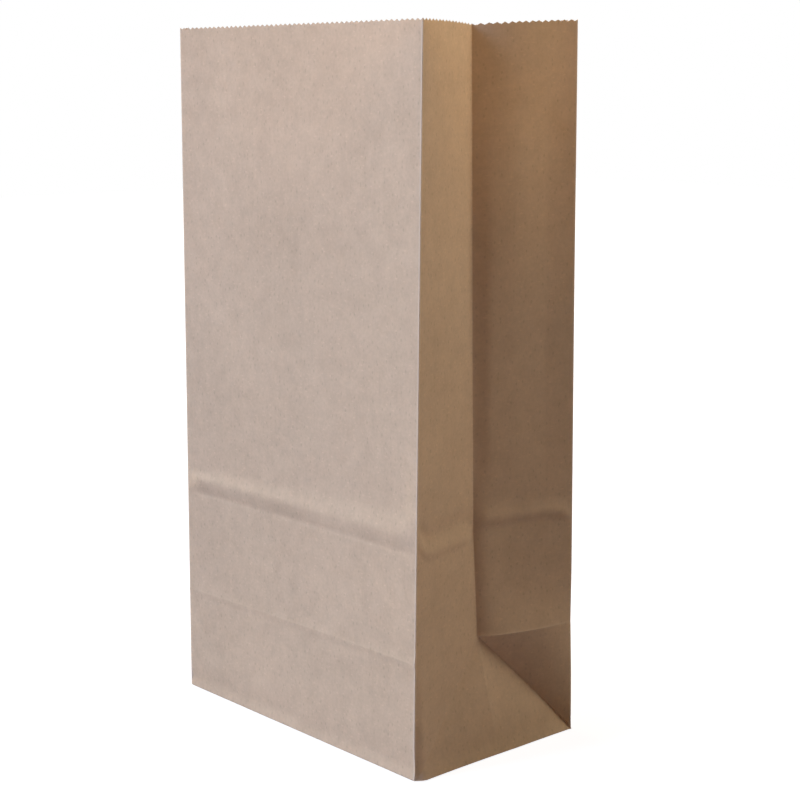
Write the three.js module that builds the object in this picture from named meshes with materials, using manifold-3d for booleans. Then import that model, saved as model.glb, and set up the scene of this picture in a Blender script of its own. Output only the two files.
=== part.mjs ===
// A brown paper lunch bag, opened and standing: one folded sheet of kraft paper, in millimetres.
// +Z is up. The broad panels face -Y (front) and +Y (back), the gussets face +X and -X.
// The origin is the middle of the base, on the surface that the bag stands on.
import * as THREE from "three";
import { mergeVertices } from "three/addons/utils/BufferGeometryUtils.js";
import Module from "manifold-3d";

// The sheet and its cuts
const panelWidth = 140; // broad panel, from fold to fold
const gussetDepth = 82; // side panel, from fold to fold, laid flat
const bagHeight = 270; // from the base to the tips of the teeth
const paper = 0.12; // thickness of the sheet
const toothPitch = 2.7; // saw-tooth cut of the mouth and of the flaps' free edges
const toothDepth = 0.9;
const seamWidth = 14; // lap joint down the back panel
const seamOffset = 9; // middle of that joint, from the middle of the panel towards +X
const cutStep = 0.15; // width over which a cut edge steps down to the sheet under it
const flapLap = 18; // how far the two flaps of the base lie over each other
const gluePress = 0.02; // how far two glued layers are pressed into each other
const broadFlapHold = 3.2; // the broad flaps are one with the rim from here inwards
const sideFlapHold = 4; // the same for the side flaps

// How the folded sheet stands once it has been opened. The base was stored folded flat against
// the back, which left a fold across the back half of the bag and a faint mark across the front.
const backFoldLeft = 41.8; // height of that fold on the -X side
const backFoldRight = 43.6; // and on the +X side, where it runs a little higher
const apexRise = 0.4; // the base's diagonals meet this far above it, at the gusset's crease
const apexSetIn = 10.2; // how far the crease lies behind the side folds there
const waistSetIn = 13; // the same at the pressed ridge
const mouthSetInRight = 15.3; // the same at the mouth, on the +X side
const mouthSetInLeft = 12.4; // and on the -X side
const creaseDrop = 0.8; // the gusset's crease stands this much lower than the side folds
const frontLeanRight = 4.1; // how far the front leans in at the mouth, on the +X side
const frontLeanLeft = 2.1; // and on the -X side
const backLean = 2; // how far the back leans in at the mouth
const sideFoldKink = 0.9; // the back's side folds, pulled in at the fold across the back
const kinkSpan = 20; // height over which they straighten, above it and below it
const backFoldDip = 1.6; // the middle of the back panel, pulled in further at that fold
const frontMarkDip = 0.4; // the front panel at its faint mark
const frontBow = 1; // outward bow of the front panel
const backBow = 0.5; // and of the back one
const footSpread = 2; // the base's end folds stand out past the side folds
const footBow = 0.9; // and run in a little at their middle
const foldReach = 0.8; // a side fold's round, from its corner to where the panels are flat
const cornerReach = 2.6; // the same at the base, where the corners are blunt
const cornerHeight = 10; // height over which the blunt corner sharpens into the fold
const footRadius = 2.6; // round of the folds between the walls and the base

// The ridge that the base's far edge pressed into the bag while it was stored flat
const ridgeFoot = 84; // height where the sheet steps out to the ridge
const ridgeHeight = 0.7;
const ridgeStep = 3; // from its foot up to its crest
const ridgeSlope = 6; // from its crest up to the plain sheet
const ridgeFade = 12; // length over which it dies out beside a fold
const ridgeSag = 2.4; // how much lower it crosses the gusset's crease
const gussetRidge = 0.5; // its share on the gussets

// How finely the sheet is divided
const rimWidth = 8; // part of the base that is one with the walls, inside their foot
const mouthBand = 4; // height of the strip that carries the teeth
const panelSteps = 6;
const gussetSteps = 4; // in each half of a gusset, and up to the fold across the back
const waistSteps = 3; // between that fold and the ridge
const upperSteps = 6; // above the ridge
const leastGap = 0.05; // two points of the mouth's edge are not closer than this

const halfWidth = panelWidth / 2;
const halfDepth = gussetDepth / 2;
const flapLength = halfDepth + flapLap / 2;
const layerStep = paper - gluePress;
const baseLevel = layerStep + paper / 2; // middle of the sheet where the walls turn into the base
const crest = ridgeFoot + ridgeStep;
const ridgeEnd = crest + ridgeSlope;

const { lerp, clamp, smoothstep } = THREE.MathUtils;
const lerpPoint = (a, b, t) => new THREE.Vector3().lerpVectors(a, b, t);

// 0 at both ends of a panel and 1 in its middle.
const arch = (share) => 4 * share * (1 - share);

// Height of the fold across the back, across from 0 at -X to 1 at +X.
const foldLevel = (across) => lerp(backFoldLeft, backFoldRight, across);

// 1 at a level, falling to 0 at a span above it and below it.
const nearLevel = (h, level, span) => Math.max(0, 1 - Math.abs(h - level) / span);

// How far a gusset's crease lies behind the side folds, on side +1 (right) or -1 (left).
function setIn(side, h) {
  const mouth = side > 0 ? mouthSetInRight : mouthSetInLeft;
  const apex = foldLevel(side > 0 ? 1 : 0) + apexRise;
  if (h < ridgeFoot) return lerp(apexSetIn, waistSetIn, (h - apex) / (ridgeFoot - apex));
  return lerp(waistSetIn, mouth, (h - ridgeFoot) / (bagHeight - ridgeFoot));
}

// Where the side folds stand in depth.
function frontFoldY(side, h) {
  return ((side > 0 ? frontLeanRight : frontLeanLeft) * h) / bagHeight - halfDepth;
}

function backFoldY(side, h) {
  const kink = sideFoldKink * nearLevel(h, foldLevel(side > 0 ? 1 : 0), kinkSpan);
  return halfDepth - (backLean * h) / bagHeight - kink;
}

// Height of the pressed ridge over the sheet, at height h and at a distance from the nearest fold.
function ridge(h, fromFold) {
  const below = smoothstep(h, ridgeFoot, crest);
  const above = 1 - clamp((h - crest) / ridgeSlope, 0, 1);
  return ridgeHeight * below * above * smoothstep(fromFold, 0, ridgeFade);
}

// A point of the front panel, p from its left fold.
function frontPanel(p, h) {
  const share = p / panelWidth;
  const fold = lerp(frontFoldY(-1, h), frontFoldY(1, h), share);
  const bow = frontBow * arch(share) * smoothstep(h, 0, ridgeFoot);
  const level = foldLevel(share);
  const dip = frontMarkDip * arch(share) * nearLevel(h, level, level);
  const pressed = ridge(h, Math.min(p, panelWidth - p));
  return new THREE.Vector3(p - halfWidth, fold - bow + dip - pressed, h);
}

// A point of the back panel, p from its right fold.
function backPanel(p, h) {
  const share = p / panelWidth;
  const fold = lerp(backFoldY(1, h), backFoldY(-1, h), share);
  const bow = backBow * arch(share) * smoothstep(h, 0, ridgeFoot);
  const level = foldLevel(1 - share);
  const dip = backFoldDip * arch(share) * nearLevel(h, level, level);
  const pressed = ridge(h, Math.min(p, panelWidth - p));
  return new THREE.Vector3(halfWidth - p, fold + bow - dip + pressed, h);
}

// A point of a gusset, s from its middle line, negative towards the front. Up to the fold across
// the back it is three flat triangles that meet at an apex; above, two panels on a crease.
function gusset(side, s, h) {
  const level = foldLevel(side > 0 ? 1 : 0);
  const frontY = frontFoldY(side, h);
  const backY = backFoldY(side, h);
  const away = Math.abs(s) / halfDepth;
  const point = new THREE.Vector3();
  if (h >= level) {
    const rise = nearLevel(h, level, creaseDrop + apexRise) * (creaseDrop + apexRise);
    const crease = new THREE.Vector3(halfWidth - setIn(side, h), (frontY + backY) / 2, h);
    crease.z += rise - creaseDrop;
    point.lerpVectors(crease, new THREE.Vector3(halfWidth, s < 0 ? frontY : backY, h), away);
  } else {
    const middle = (frontFoldY(side, level) + backFoldY(side, level)) / 2;
    const apex = new THREE.Vector3(halfWidth - apexSetIn, middle, level + apexRise);
    const up = h / level;
    if (away <= 1 - up) {
      point.set(halfWidth, s, 0).lerp(apex, up);
      point.y = s + middle * up;
    } else {
      point.set(halfWidth, s < 0 ? frontY : backY, h);
      point.addScaledVector(apex.sub(new THREE.Vector3(halfWidth, 0, level)), 1 - away);
      point.y += (s < 0 ? -frontY : -backY) * (1 - away);
    }
  }
  const fromEdge = halfDepth - Math.abs(s);
  const blunt = 1 - clamp(1 - fromEdge / (2 * cornerReach), 0, 1) ** 2;
  const spread = footSpread * blunt - footBow * (1 - away ** 2);
  const pressed = ridge(h + ridgeSag * (1 - away), Math.min(fromEdge, Math.abs(s)));
  point.x += spread * Math.max(0, 1 - h / level) + gussetRidge * pressed;
  point.x *= side;
  return point;
}

// The four panels in order round the bag, seen from above against the clock.
const front = { length: panelWidth, at: frontPanel, across: (p) => p / panelWidth };
const right = { length: gussetDepth, at: (p, h) => gusset(1, p - halfDepth, h), across: () => 1 };
const back = { length: panelWidth, at: backPanel, across: (p) => 1 - p / panelWidth };
const left = { length: gussetDepth, at: (p, h) => gusset(-1, halfDepth - p, h), across: () => 0 };
const panels = [front, right, back, left];

// A point on the round that joins two stretches of sheet, t from 0 to 1 between its ends.
function roundOver(start, corner, end, t) {
  return lerpPoint(lerpPoint(start, corner, t), lerpPoint(corner, end, t), t);
}

const reachAt = (h) => lerp(cornerReach, foldReach, clamp(h / cornerHeight, 0, 1));

// Columns run up the sheet. u is a column's place along the cut edge of the mouth, across runs
// from 0 at -X to 1 at +X, and inGusset from 0 at a side fold to 1 at a gusset's crease. over and
// under are what a second layer adds to the outer and the inner face.
const columns = [];
let panelStart = 0;

function addColumn(panel, p, at, over = 0, under = 0) {
  const across = clamp(panel.across(p), 0, 1);
  const inGusset = panel.length === gussetDepth ? 1 - Math.abs(p / halfDepth - 1) : 0;
  columns.push({ u: panelStart + p, across, inGusset: clamp(inGusset, 0, 1), at, over, under });
}

function addPanelColumns(panel, places) {
  for (const p of places) addColumn(panel, p, (h) => panel.at(p, h));
}

// The lap joint: the outer ply ends in a cut on the outside, the inner ply in one on the inside.
function addBackColumns() {
  const outerCut = halfWidth - seamOffset - seamWidth / 2;
  const innerCut = outerCut + seamWidth;
  const seam = [
    [outerCut - cutStep, 0, 0],
    [outerCut, paper, 0],
    [innerCut, 0, paper],
    [innerCut + cutStep, 0, 0],
  ];
  const clearOfSeam = (p) => p < outerCut - 2 * cutStep || p > innerCut + 2 * cutStep;
  const plain = evenly(panelWidth, panelSteps).filter(clearOfSeam);
  const all = [...plain.map((p) => [p, 0, 0]), ...seam].sort((a, b) => a[0] - b[0]);
  for (const [p, over, under] of all) addColumn(back, p, (h) => backPanel(p, h), over, under);
}

function addFoldColumns(panel, next) {
  for (const t of [0, 0.25, 0.5, 0.75, 1]) {
    const at = (h) => {
      const reach = reachAt(h);
      const start = panel.at(panel.length - reach, h);
      return roundOver(start, panel.at(panel.length, h), next.at(reach, h), t);
    };
    addColumn(panel, panel.length + (2 * t - 1) * foldReach, at);
  }
}

function addCreaseColumns(panel) {
  for (const t of [0, 0.5, 1]) {
    const at = (h) => {
      const start = panel.at(halfDepth - foldReach, h);
      return roundOver(start, panel.at(halfDepth, h), panel.at(halfDepth + foldReach, h), t);
    };
    addColumn(panel, halfDepth + (2 * t - 1) * foldReach, at);
  }
}

// The inner division points of a length.
function evenly(length, steps) {
  return Array.from({ length: steps - 1 }, (_, k) => (length * (k + 1)) / steps);
}

panels.forEach((panel, k) => {
  if (panel === back) {
    addBackColumns();
  } else if (panel === front) {
    addPanelColumns(panel, evenly(panelWidth, panelSteps));
  } else {
    const half = evenly(halfDepth, gussetSteps);
    addPanelColumns(panel, half);
    addCreaseColumns(panel);
    addPanelColumns(panel, half.map((p) => halfDepth + p));
  }
  addFoldColumns(panel, panels[(k + 1) % panels.length]);
  panelStart += panel.length;
});
const perimeter = panelStart;

// A point of the base, inward from the foot of a column.
function basePoint(column, inward) {
  const foot = column.at(0);
  const x = foot.x * (1 - inward / (halfWidth + footSpread));
  const y = foot.y * (1 - inward / halfDepth);
  return new THREE.Vector3(x, y, baseLevel);
}

const footRound = (t) => (column) => {
  const corner = basePoint(column, 0);
  return roundOver(basePoint(column, footRadius), corner, column.at(footRadius), t);
};

// Rows run round the sheet, from inside the base outwards and then up to the mouth. The low ones
// follow the fold across the back, the next ones the ridge, and the others are level.
const lowShares = [...evenly(1, gussetSteps), 1];
const lowRow = (share) => (column) => column.at(share * foldLevel(column.across));
const ridgeHeights = [ridgeFoot, ridgeFoot + ridgeStep / 2, crest, crest + ridgeSlope / 2, ridgeEnd];
const ridgeRow = (h) => (column) => column.at(h - ridgeSag * column.inGusset);
const waistRow = (share) => (column) => {
  const top = ridgeFoot - ridgeSag * column.inGusset;
  return column.at(lerp(foldLevel(column.across), top, share));
};
const bandFoot = bagHeight - toothDepth - mouthBand;
const upperHeights = evenly(bandFoot - ridgeEnd, upperSteps).map((rise) => ridgeEnd + rise);
const levelRow = (h) => (column) => column.at(h);
const wallRows = [
  ...lowShares.map(lowRow),
  ...evenly(1, waistSteps).map(waistRow),
  ...ridgeHeights.map(ridgeRow),
  ...[...upperHeights, bandFoot, bagHeight].map(levelRow),
];
const rows = [
  (column) => basePoint(column, rimWidth),
  ...[0, 0.25, 0.5, 0.75, 1].map(footRound),
  ...wallRows,
];
const sheet = rows.map((row) => columns.map((column) => row(column)));
const firstWallRow = rows.length - wallRows.length;

// Unit normals of the sheet at its grid points, facing out of the bag.
function sheetNormals(grid) {
  const count = columns.length;
  return grid.map((row, j) =>
    row.map((point, i) => {
      const ahead = row[(i + 1) % count].clone().sub(point).normalize();
      const behind = point.clone().sub(row[(i + count - 1) % count]).normalize();
      const over = grid[Math.min(j + 1, grid.length - 1)][i].clone();
      const under = grid[Math.max(j - 1, 0)][i];
      return ahead.add(behind).cross(over.sub(under)).normalize();
    }),
  );
}

const normals = sheetNormals(sheet);
const face = (sense, extra) =>
  sheet.map((row, j) =>
    row.map((point, i) => {
      const secondLayer = j < firstWallRow ? 0 : columns[i][extra];
      const thickness = sense * (paper / 2 + secondLayer);
      return point.clone().addScaledVector(normals[j][i], thickness);
    }),
  );
const outer = face(1, "over");
const inner = face(-1, "under");

// Places along the mouth's edge: every tip and root of the teeth, and every column.
const toothCount = Math.round(perimeter / toothPitch);
const pitch = perimeter / toothCount;
const mouthStart = columns[0].u;
const columnPlaces = columns.map((column) => column.u - mouthStart);
const toothPlaces = Array.from({ length: 2 * toothCount }, (_, k) => (k * pitch) / 2);
const isFree = (place) => columnPlaces.every((other) => Math.abs(other - place) > leastGap);
const clearOfEnd = (place) => place > leastGap && place < perimeter - leastGap;
const freeTeeth = toothPlaces.filter((place) => isFree(place) && clearOfEnd(place));
const mouthPlaces = [...columnPlaces, ...freeTeeth].sort((a, b) => a - b);

// How far below the tips the cut edge lies at a place.
function cutDepth(place) {
  const phase = (place / pitch) % 1;
  return toothDepth * 2 * Math.min(phase, 1 - phase);
}

// The cut edge of one face of the sheet, along its topmost row.
function cutEdge(topRow) {
  let i = 0;
  return mouthPlaces.map((place) => {
    while (i < columnPlaces.length - 1 && columnPlaces[i + 1] <= place) i += 1;
    const next = (i + 1) % columnPlaces.length;
    const end = next === 0 ? perimeter : columnPlaces[next];
    const share = (place - columnPlaces[i]) / (end - columnPlaces[i]);
    const point = lerpPoint(topRow[i], topRow[next], share);
    point.z -= cutDepth(place);
    return point;
  });
}

// Triangles are collected as corner points; the closed solid is welded from them afterwards.
const corners = [];

function addTriangle(a, b, c) {
  corners.push(a, b, c);
}

// True where the fold of a gusset's triangles runs from lower left to upper right, seen from outside.
function foldRunsForward(i) {
  const place = columns[i].u;
  const intoRight = place - panelWidth;
  const intoLeft = place - 2 * panelWidth - gussetDepth;
  const inFirstHalf = (into) => into > -foldReach && into < halfDepth - foldReach / 2;
  return inFirstHalf(intoRight) || inFirstHalf(intoLeft);
}

function addWall(grid, flipped) {
  const put = flipped ? (a, b, c) => addTriangle(a, c, b) : addTriangle;
  for (let j = 0; j < grid.length - 2; j += 1) {
    for (let i = 0; i < columns.length; i += 1) {
      const next = (i + 1) % columns.length;
      const [a, b, c, d] = [grid[j][i], grid[j][next], grid[j + 1][next], grid[j + 1][i]];
      if (foldRunsForward(i)) {
        put(a, b, c);
        put(a, c, d);
      } else {
        put(a, b, d);
        put(b, c, d);
      }
    }
  }
}

// The strip between the last full row of columns and the cut edge, whose points lie closer.
function addMouthBand(grid, edge, flipped) {
  const put = flipped ? (a, b, c) => addTriangle(a, c, b) : addTriangle;
  const row = grid[grid.length - 2];
  const below = [...columnPlaces, perimeter];
  const above = [...mouthPlaces, perimeter];
  let i = 0;
  let k = 0;
  while (i < row.length || k < edge.length) {
    const a = row[i % row.length];
    const d = edge[k % edge.length];
    const edgeFirst = i === row.length || (k < edge.length && above[k + 1] <= below[i + 1]);
    if (edgeFirst) {
      k += 1;
      put(a, edge[k % edge.length], d);
    } else {
      i += 1;
      put(a, row[i % row.length], d);
    }
  }
}

// Closes the paper's thickness between two edges that run alike.
function addThickness(outerEdge, innerEdge) {
  outerEdge.forEach((a, i) => {
    const next = (i + 1) % outerEdge.length;
    addTriangle(a, outerEdge[next], innerEdge[next]);
    addTriangle(a, innerEdge[next], innerEdge[i]);
  });
}

const outerCut = cutEdge(outer.at(-1));
const innerCut = cutEdge(inner.at(-1));
addWall(outer, false);
addWall(inner, true);
addMouthBand(outer, outerCut, false);
addMouthBand(inner, innerCut, true);
addThickness(outerCut, innerCut);
addThickness(inner[0], outer[0]);

// A flap's free edge, cut to teeth, from one corner to the next with the flap on its left.
function toothedEdge(from, to) {
  const run = to.clone().sub(from);
  const count = Math.max(1, Math.round(run.length() / toothPitch));
  const root = new THREE.Vector2(-run.y, run.x).setLength(toothDepth);
  const points = [from];
  for (let k = 0; k < count; k += 1) {
    points.push(from.clone().addScaledVector(run, (k + 0.5) / count).add(root));
    points.push(from.clone().addScaledVector(run, (k + 1) / count));
  }
  return points;
}

// One flap of the base: a flat outline with its free edge first, between two levels.
function flap(freeFrom, freeTo, others, bottom, top) {
  const shape = new THREE.Shape([...toothedEdge(freeFrom, freeTo), ...others]);
  const geometry = new THREE.ExtrudeGeometry(shape, { depth: top - bottom, bevelEnabled: false });
  return geometry.translate(0, 0, bottom);
}

// The two broad flaps have folded ends at 45 degrees. The one from the back is outermost.
function broadFlap(bottom, top) {
  const free = new THREE.Vector2(halfWidth - flapLength, halfDepth - flapLength);
  const held = new THREE.Vector2(halfWidth - broadFlapHold, halfDepth - broadFlapHold);
  const heldEdge = [held, new THREE.Vector2(-held.x, held.y)];
  return flap(new THREE.Vector2(-free.x, free.y), free, heldEdge, bottom, top);
}

// The side flaps lie inside the bag, one at each end.
function sideFlap(bottom, top) {
  const free = halfWidth - flapLength;
  const held = new THREE.Vector2(halfWidth - sideFlapHold, halfDepth - sideFlapHold);
  const freeFrom = new THREE.Vector2(free, held.y);
  const freeTo = new THREE.Vector2(free, -held.y);
  const heldEdge = [new THREE.Vector2(held.x, -held.y), held];
  return flap(freeFrom, freeTo, heldEdge, bottom, top);
}

const wasm = await Module();
wasm.setup();

function solidOf(geometry) {
  const bare = geometry.index ? geometry.toNonIndexed() : geometry;
  for (const name of ["normal", "uv"]) bare.deleteAttribute(name);
  const merged = mergeVertices(bare, 1e-4);
  const vertProperties = merged.attributes.position.array;
  const triVerts = new Uint32Array(merged.index.array);
  return new wasm.Manifold(new wasm.Mesh({ numProp: 3, vertProperties, triVerts }));
}

// The flap from the front holds the walls' rim in its thickness, with half a press over each face.
const innerFlapBottom = layerStep - gluePress / 2;
const innerFlapTop = layerStep + paper + gluePress / 2;
const layers = [
  new THREE.BufferGeometry().setFromPoints(corners),
  broadFlap(0, paper),
  broadFlap(innerFlapBottom, innerFlapTop).rotateZ(Math.PI),
  sideFlap(2 * layerStep, 2 * layerStep + paper),
  sideFlap(2 * layerStep, 2 * layerStep + paper).rotateZ(Math.PI),
];
const bagSolid = layers.map(solidOf).reduce((whole, layer) => whole.add(layer));

const mesh = bagSolid.getMesh();
const bagGeometry = new THREE.BufferGeometry();
bagGeometry.setAttribute("position", new THREE.BufferAttribute(mesh.vertProperties, mesh.numProp));
bagGeometry.setIndex(new THREE.BufferAttribute(mesh.triVerts, 1));
bagGeometry.computeVertexNormals();

const kraft = new THREE.MeshStandardMaterial({ color: 0xb89e82, roughness: 0.85, metalness: 0 });
const bag = new THREE.Mesh(bagGeometry, kraft);
bag.name = "paper_bag";

const group = new THREE.Group();
group.add(bag);
export default group;
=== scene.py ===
"""A brown paper lunch bag, opened and standing: one folded sheet of machine-finished kraft paper.

The sheet is worked out in millimetres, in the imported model's frame: +Z is up, the front panel
faces -Y, the gussets face +X and -X, and the origin is the middle of the base. The mesh is metres.
"""

import math
from collections import namedtuple

import bpy
from mathutils import Matrix, Vector, noise


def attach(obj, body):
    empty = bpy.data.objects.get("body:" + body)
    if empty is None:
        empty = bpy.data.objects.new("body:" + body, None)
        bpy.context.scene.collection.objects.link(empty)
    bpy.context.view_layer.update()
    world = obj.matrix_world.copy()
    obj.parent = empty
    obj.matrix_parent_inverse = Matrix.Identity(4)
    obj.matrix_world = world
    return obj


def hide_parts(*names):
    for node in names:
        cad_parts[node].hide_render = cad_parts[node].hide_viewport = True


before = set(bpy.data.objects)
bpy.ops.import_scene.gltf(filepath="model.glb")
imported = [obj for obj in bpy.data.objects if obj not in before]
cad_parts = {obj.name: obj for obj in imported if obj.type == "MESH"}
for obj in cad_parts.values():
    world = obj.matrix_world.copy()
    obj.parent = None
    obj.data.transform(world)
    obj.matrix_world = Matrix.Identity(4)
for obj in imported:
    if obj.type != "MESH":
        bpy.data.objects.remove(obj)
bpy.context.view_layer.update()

# The sheet and its cuts, in millimetres
PANEL_WIDTH = 140.0  # broad panel, from fold to fold
GUSSET_DEPTH = 82.0  # side panel, from fold to fold, laid flat
BAG_HEIGHT = 270.0
PAPER = 0.12
TOOTH_PITCH = 2.7
TOOTH_DEPTH = 0.75
TOOTH_SPREAD = 0.4  # share by which the teeth differ in depth
SEAM_WIDTH = 14.0  # lap joint down the back
SEAM_OFFSET = 9.0  # its middle, from the middle of the panel towards +X
FLAP_LAP = 18.0  # how far the base's broad flaps lie over each other
FLAP_HOLD = 4.0  # the flaps' own grids end this far inside the walls
FLAP_LAYER = {"back": 0, "front": 1, "right": 2, "left": 2}  # 0 is outermost
LAYER_STEP = 0.1  # one glued layer over another
LAYER_LEVEL = 0.065  # height of the outermost layer's middle
LOOSE = 0.003  # a flap's faces lie this much outside the walls' rim

# How the opened sheet stands
BACK_FOLD_LEFT = 41.8  # height of the fold over the base, on the -X side
BACK_FOLD_RIGHT = 43.6
APEX_RISE = 0.4  # over it, to where the gusset's folds meet
APEX_SET_IN = 10.2  # the gusset's crease lies this far behind its side folds where they meet,
WAIST_SET_IN = 13.0  # this far at the ridge,
MOUTH_SET_IN_RIGHT = 16.2  # and this far at the mouth
MOUTH_SET_IN_LEFT = 12.4
CREASE_DROP = 0.8  # the gusset's rows sink towards its crease
FRONT_LEAN_RIGHT = 4.5
FRONT_LEAN_LEFT = 2.1
BACK_LEAN = 2.0
SIDE_FOLD_KINK = 0.4
KINK_SPAN = 20.0
BACK_FOLD_DIP = 1.6
FRONT_MARK_DIP = 0.4
FRONT_BOW = -1.2
BACK_BOW = 0.5
MOUTH_FLARE = 0.4  # the back's side folds stand out again towards the mouth
FLARE_FOOT = 160.0
MOUTH_RISE = 1.1  # the cut stands higher at the back fold on the right
FOOT_SPREAD = 2.6  # the gussets stand out this far at their foot
FOOT_BOW = 0.9
CHAMFER = 3.4  # the base's front corners are cut off over this length
BACK_SPREAD_FADE = 30.0
BACK_SPREAD_LEFT = 0.6  # share of the spread that the back corners keep
BACK_FOOT_TUCK = 1.2  # the back's foot stands this much nearer to the front
FOLD_REACH = 0.25  # from a fold to the end of its round
FOLD_GUARD = 0.12  # one more column just outside each round keeps its shading narrow
SEAM_GUARD = 0.12  # and so does one outside each cut of the lap joint
FOOT_RADIUS = 0.8
FOOT_FLARE = 0.45  # the walls' last few millimetres stand out
FOOT_FLARE_HEIGHT = 4.6
FOOT_FLARE_EDGE = 4.0  # on a gusset, from this far inside its side folds
FOOT_DIP = 0.45  # a slight hollow over the base, which fades out upwards
FOOT_DIP_HEIGHT = 14.0

# The ridge pressed round the bag by the folded base's far edge
RIDGE_FOOT = 84.0
RIDGE_HEIGHT_LEFT = 1.05  # left and right: the -X and +X ends of a broad panel
RIDGE_HEIGHT_RIGHT = 0.55
RIDGE_STEP = 6.0
RIDGE_SLOPE_LEFT = 4.0
RIDGE_SLOPE_RIGHT = 9.0
RIDGE_FADE = 9.0
RIDGE_SINK = 0.7  # over the ridge, the +X side lies back
SINK_FADE = 30.0
RIDGE_LIP = 0.15  # under its foot, the sheet is pressed in
LIP_SPAN = 1.6
FRONT_SAG = 4.2  # on a gusset the ridge lies lower in the front half
FRONT_SAG_REACH = 9.0
BACK_LIFT = 1.4  # and higher in the back half
BACK_LIFT_REACH = 12.0
CREASE_BLEND = 5.0  # distance from the crease over which one turns into the other
GUSSET_RIDGE_FRONT = 0.6
GUSSET_RIDGE_BACK = 0.8
GUSSET_STEP = 3.5
GUSSET_SLOPE = 5.5
GUSSET_FADE = 4.0
GROOVE = 0.75  # over the ridge, the gusset's front half has a shallow groove
GROOVE_SPAN = 6.5

# Softer forms that only the looks need
SWELL = 0.35  # slow waves of the standing sheet
SWELL_WIDTH = 55.0
SWELL_TALL = 80.0
COCKLE = 0.05  # small unevenness left by drying
COCKLE_SIZE = 13.0
SETTLE = 25.0  # distance from a fold over which the waves grow
GUSSET_WAVES = 0.6  # share of the waves that a gusset has
BACK_CORNER_BULGE = 0.3  # the triangle under the fold over the base swells out
DIAGONAL_TUCK = 2.8  # and the diagonal beside it is tucked in
TUCK_DIRECTION = Vector((-1, 0.88, -0.24))
CROSS_BULGE = 3.0  # the fold over the base stands out on the gussets' back half
CROSS_BULGE_FADE = 22.0
CRUMPLE = 0.7  # a crumple beside the front diagonal, under the apex
CRUMPLE_PLACE = 0.04  # its distance from the diagonal and its width, as shares of the triangle
CRUMPLE_WIDTH = 0.1
CRUMPLE_SHOWS = (0.3, 0.75, 0.85, 1)  # heights in it between which the crumple starts and ends
MARK_HEIGHT_LEFT = 0.18  # the faint mark across the front: a small ridge
MARK_HEIGHT_RIGHT = 0.3
MARK_STEP = 1.3
MARK_SLOPE = 3.0
CURL = 2.4  # near the mouth, a gusset's back half curls out of its crease
CURL_START = 120.0
CURL_FULL = 245.0
LOW_CURL = 1.2  # under the ridge, only a narrow strip beside the crease does
LOW_CURL_PLACE = 0.11  # share of the half gusset's width
LOW_CURL_FADE = 26.0
MIDDLE_CURL = 1.6  # halfway up, it stands out evenly
MIDDLE_CURL_EDGE = 0.16
MIDDLE_CURL_END = 180.0
BEND = 0.6  # it bends again beside its side fold
BEND_PLACE = 29.5
BEND_SHOWS = (85, 125, 225, 255)  # heights between which it starts and ends
MIDDLE_LINE = 0.07  # the gusset's crease still shows down the end of the base
MIDDLE_LINE_WIDTH = 3.0
MIDDLE_LINE_SHOWS = (0, 0.1, 0.8, 1)

# How finely the sheet is divided
FRONT_TEETH = 52
GUSSET_TEETH = 30
FOLD_STEPS = 3
FOOT_STEPS = 6
LOW_STEPS = GUSSET_TEETH  # so that the diagonals run through the grid's points
ROWS_ON_FOLD = (0.5, 1.2)  # heights over the fold over the base
WAIST_STEPS = 13
WAIST_END = 2.4  # under the ridge's foot
STEP_ROWS = 5
SLOPE_ROWS = 8
UPPER_STEPS = 44
UPPER_END = 0.8  # under the teeth
RIM_WIDTH = 8.0  # strip of the base that belongs to the walls' grid
FLAP_ROWS = 10
SHARP_ANGLE = 40  # edges that turn by more degrees than this look sharp

# The paper: its colours, and the sizes of its patterns in millimetres
KRAFT = "D3B899"
# pale colour of the folds: wear, with painted highlight where their rounds catch light
WEAR_AND_HIGHLIGHT_KRAFT = "E6D3BA"
THROUGH_KRAFT = "E6C9A0"  # what light takes on when it shines through
SEE_THROUGH = 0.3  # share of the light that each face of the thin paper lets in
BARE_TONE = 0.59
PATCHES = 38
CLOUDS = 6
GRAIN = 1.3
FIBRE_WIDTH = 0.5
FIBRE_LENGTH = 5
FIBRE_TONE = 0.06  # how much brighter fibres, shives and pale fibres are than the bare paper
SHIVE_TONE = -0.17
PALE_FIBRE_TONE = 0.12
FIBRE_RELIEF = 0.03
FLAT_MARGIN = 60.0  # keeps every place on the flat sheet above zero
INSIDE_SHIFT = 0.5  # metres that part the patterns of the sheet's two faces

# The studio
AMBIENT = 0.01
AMBIENT_COLOUR = "F6F2EE"
PALE_BOARD = "968F90"
FLOOR_GLOW = 0.88  # near the bag, where the floor keeps its shadow
FLOOR_FADE = (0.25, 0.8)  # metres from the bag over which the floor turns quite white
FLOOR_HALF = 3.0
FLOOR_LEVEL = -0.0002

HALF_WIDTH = PANEL_WIDTH / 2
HALF_DEPTH = GUSSET_DEPTH / 2
FLAP_LENGTH = HALF_DEPTH + FLAP_LAP / 2
SEAM_START = HALF_WIDTH - SEAM_OFFSET - SEAM_WIDTH / 2  # its outer cut, from the back's right fold
CREST = RIDGE_FOOT + RIDGE_STEP
RIDGE_END = CREST + RIDGE_SLOPE_RIGHT
FAR_FROM_FOLD = 9.0  # distances from a fold are kept up to here
MILLIMETRE = 0.001


def lerp(a, b, t):
    return a + (b - a) * t


def clamp(value, low=0.0, high=1.0):
    return min(max(value, low), high)


def rise(value, start, end):
    """0 at start, 1 at end, with no kink at either."""
    t = clamp((value - start) / (end - start))
    return t * t * (3 - 2 * t)


def arch(share):
    """0 at both ends of a panel and 1 in its middle."""
    return 4 * share * (1 - share)


def early_arch(share):
    """0 at both ends of a panel and 1 a third of the way over it."""
    return 27 / 4 * share * (1 - share) ** 2


def half_dome(a, b):
    """1 in the middle of one side of a triangle and 0 along the others, from its two shares."""
    return 4 * a * b


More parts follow.
